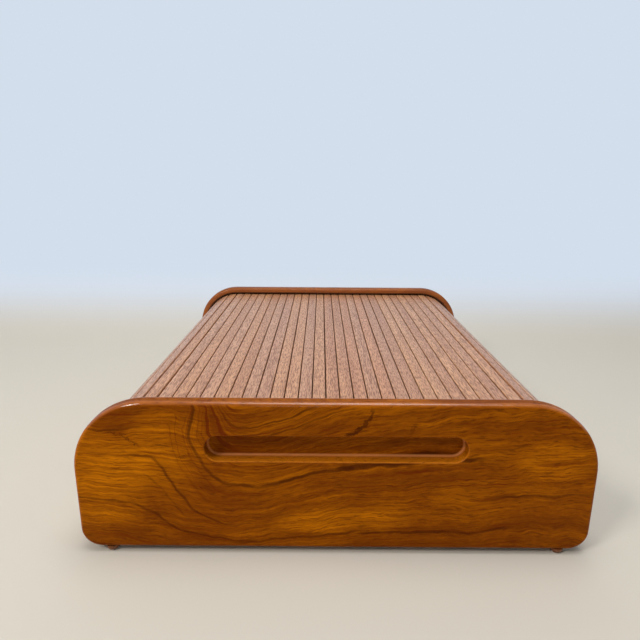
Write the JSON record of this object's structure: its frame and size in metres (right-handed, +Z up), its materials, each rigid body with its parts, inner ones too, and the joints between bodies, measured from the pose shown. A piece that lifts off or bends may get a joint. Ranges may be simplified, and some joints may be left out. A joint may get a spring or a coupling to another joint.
{
  "type": "tambour lid box",
  "caption": "Low desk box for papers with two solid end panels, finger recesses and a slatted curtain lid that slides round the top, side and underside.",
  "frame": {"origin": "Middle of the footprint, on the surface that the feet stand on", "axes": "+X is the width across the slats, to the right as seen from the front end panel; +Y is the length, away from the front end panel; +Z is up"},
  "size_m": [0.356, 0.404, 0.114],
  "materials": {
    "panel_teak": "satin",
    "slat_teak": "satin",
    "inner_teak": "matte",
    "dowel_beech": "matte",
    "canvas": "matte"
  },
  "bodies": {
    "carcass": {"front_end_panel": "panel_teak", "back_end_panel": "panel_teak", "left_side_board": "panel_teak", "right_side_board": "panel_teak", "floor_board": "inner_teak", "bottom_board": "inner_teak", "left_inner_wall": "inner_teak", "right_inner_wall": "inner_teak", "side_board_dowels": "dowel_beech", "foot_front_left": "panel_teak", "foot_front_right": "panel_teak", "foot_back_left": "panel_teak", "foot_back_right": "panel_teak"},
    "lead_rail_group": {"lead_rail": "slat_teak", "slat_01": "slat_teak"},
    "curtain_02_to_07": {"slat_02": "slat_teak", "slat_03": "slat_teak", "slat_04": "slat_teak", "slat_05": "slat_teak", "slat_06": "slat_teak", "slat_07": "slat_teak"},
    "curtain_08_to_09": {"slat_08": "slat_teak", "slat_09": "slat_teak"},
    "curtain_10": {"slat_10": "slat_teak"},
    "curtain_11": {"slat_11": "slat_teak"},
    "curtain_12": {"slat_12": "slat_teak"},
    "curtain_13": {"slat_13": "slat_teak"},
    "curtain_14_to_32": {"slat_14": "slat_teak", "slat_15": "slat_teak", "slat_16": "slat_teak", "slat_17": "slat_teak", "slat_18": "slat_teak", "slat_19": "slat_teak", "slat_20": "slat_teak", "slat_21": "slat_teak", "slat_22": "slat_teak", "slat_23": "slat_teak", "slat_24": "slat_teak", "slat_25": "slat_teak", "slat_26": "slat_teak", "slat_27": "slat_teak", "slat_28": "slat_teak", "slat_29": "slat_teak", "slat_30": "slat_teak", "slat_31": "slat_teak", "slat_32": "slat_teak"},
    "curtain_33": {"slat_33": "slat_teak"},
    "curtain_34": {"slat_34": "slat_teak"},
    "curtain_35": {"slat_35": "slat_teak"},
    "curtain_36": {"slat_36": "slat_teak"},
    "curtain_37": {"slat_37": "slat_teak"},
    "curtain_38": {"slat_38": "slat_teak"},
    "curtain_39_to_40": {"slat_39": "slat_teak", "slat_40": "slat_teak"},
    "curtain_41": {"slat_41": "slat_teak"},
    "curtain_42": {"slat_42": "slat_teak"}
  },
  "joints": [
    {"name": "lid_travel", "type": "hinge", "parent": "carcass", "child": "lead_rail_group", "pos_m": [-0.00028, 0, -0.06372], "axis": [0, 1, 0], "range_deg": [0, 90], "deforming": ["lead_rail", "slat_01", "slat_02", "slat_03", "slat_04", "slat_05", "slat_06", "slat_07", "slat_08", "slat_09", "slat_10", "slat_11", "slat_12", "slat_13", "slat_14", "slat_15", "slat_16", "slat_17", "slat_18", "slat_19", "slat_20", "slat_21", "slat_22", "slat_23", "slat_24", "slat_25", "slat_26", "slat_27", "slat_28", "slat_29", "slat_30", "slat_31", "slat_32", "slat_33", "slat_34", "slat_35", "slat_36", "slat_37", "slat_38", "slat_39", "slat_40", "slat_41", "slat_42"]},
    {"name": "curtain_02_to_07_travel", "type": "hinge", "parent": "carcass", "child": "curtain_02_to_07", "pos_m": [0, 0, -0.06596], "axis": [0, 1, 0], "range_deg": [0, 89.12]},
    {"name": "curtain_08_to_09_travel", "type": "hinge", "parent": "carcass", "child": "curtain_08_to_09", "pos_m": [0.00028, 0, -0.06372], "axis": [0, 1, 0], "range_deg": [0, 90]},
    {"name": "curtain_10_travel", "type": "hinge", "parent": "carcass", "child": "curtain_10", "pos_m": [0.00722, 0, -0.03115], "axis": [0, 1, 0], "range_deg": [0, 105.76]},
    {"name": "curtain_11_travel", "type": "hinge", "parent": "carcass", "child": "curtain_11", "pos_m": [0.01652, 0, 0.00572], "axis": [0, 1, 0], "range_deg": [0, 129.63]},
    {"name": "curtain_12_travel", "type": "hinge", "parent": "carcass", "child": "curtain_12", "pos_m": [0.02504, 0, 0.034], "axis": [0, 1, 0], "range_deg": [0, 153.5]},
    {"name": "curtain_13_travel", "type": "hinge", "parent": "carcass", "child": "curtain_13", "pos_m": [0.03323, 0, 0.05759], "axis": [0, 1, 0], "range_deg": [0, 177.38]},
    {"name": "curtain_14_to_32_travel", "type": "hinge", "parent": "carcass", "child": "curtain_14_to_32", "pos_m": [0.03412, 0, 0.06], "axis": [0, 1, 0], "range_deg": [0, 180]},
    {"name": "curtain_33_travel", "type": "hinge", "parent": "carcass", "child": "curtain_33", "pos_m": [0.0335, 0, 0.06149], "axis": [0, 1, 0], "range_deg": [0, 178.17]},
    {"name": "curtain_34_travel", "type": "hinge", "parent": "carcass", "child": "curtain_34", "pos_m": [0.02808, 0, 0.07537], "axis": [0, 1, 0], "range_deg": [0, 162.26]},
    {"name": "curtain_35_travel", "type": "hinge", "parent": "carcass", "child": "curtain_35", "pos_m": [0.02264, 0, 0.09129], "axis": [0, 1, 0], "range_deg": [0, 146.34]},
    {"name": "curtain_36_travel", "type": "hinge", "parent": "carcass", "child": "curtain_36", "pos_m": [0.01716, 0, 0.11008], "axis": [0, 1, 0], "range_deg": [0, 130.42]},
    {"name": "curtain_37_travel", "type": "hinge", "parent": "carcass", "child": "curtain_37", "pos_m": [0.01162, 0, 0.13296], "axis": [0, 1, 0], "range_deg": [0, 114.51]},
    {"name": "curtain_38_travel", "type": "hinge", "parent": "carcass", "child": "curtain_38", "pos_m": [0.00597, 0, 0.16189], "axis": [0, 1, 0], "range_deg": [0, 98.59]},
    {"name": "curtain_39_to_40_travel", "type": "hinge", "parent": "carcass", "child": "curtain_39_to_40", "pos_m": [0.00285, 0, 0.18115], "axis": [0, 1, 0], "range_deg": [0, 90]},
    {"name": "curtain_41_travel", "type": "hinge", "parent": "carcass", "child": "curtain_41", "pos_m": [-0.00045, 0, 0.22924], "axis": [0, 1, 0], "range_deg": [0, 74.24]},
    {"name": "curtain_42_travel", "type": "hinge", "parent": "carcass", "child": "curtain_42", "pos_m": [-0.00545, 0, 0.35218], "axis": [0, 1, 0], "range_deg": [0, 50.37]}
  ],
  "couplings": [
    {"joint": "curtain_02_to_07_travel", "follows": "lid_travel", "ratio": 0.99026},
    {"joint": "curtain_08_to_09_travel", "follows": "lid_travel", "ratio": 1},
    {"joint": "curtain_10_travel", "follows": "lid_travel", "ratio": 1.1751},
    {"joint": "curtain_11_travel", "follows": "lid_travel", "ratio": 1.4403},
    {"joint": "curtain_12_travel", "follows": "lid_travel", "ratio": 1.7056},
    {"joint": "curtain_13_travel", "follows": "lid_travel", "ratio": 1.9708},
    {"joint": "curtain_14_to_32_travel", "follows": "lid_travel", "ratio": 2},
    {"joint": "curtain_33_travel", "follows": "lid_travel", "ratio": 1.9797},
    {"joint": "curtain_34_travel", "follows": "lid_travel", "ratio": 1.8028},
    {"joint": "curtain_35_travel", "follows": "lid_travel", "ratio": 1.626},
    {"joint": "curtain_36_travel", "follows": "lid_travel", "ratio": 1.4492},
    {"joint": "curtain_37_travel", "follows": "lid_travel", "ratio": 1.2723},
    {"joint": "curtain_38_travel", "follows": "lid_travel", "ratio": 1.0955},
    {"joint": "curtain_39_to_40_travel", "follows": "lid_travel", "ratio": 1},
    {"joint": "curtain_41_travel", "follows": "lid_travel", "ratio": 0.82493},
    {"joint": "curtain_42_travel", "follows": "lid_travel", "ratio": 0.55967}
  ]
}
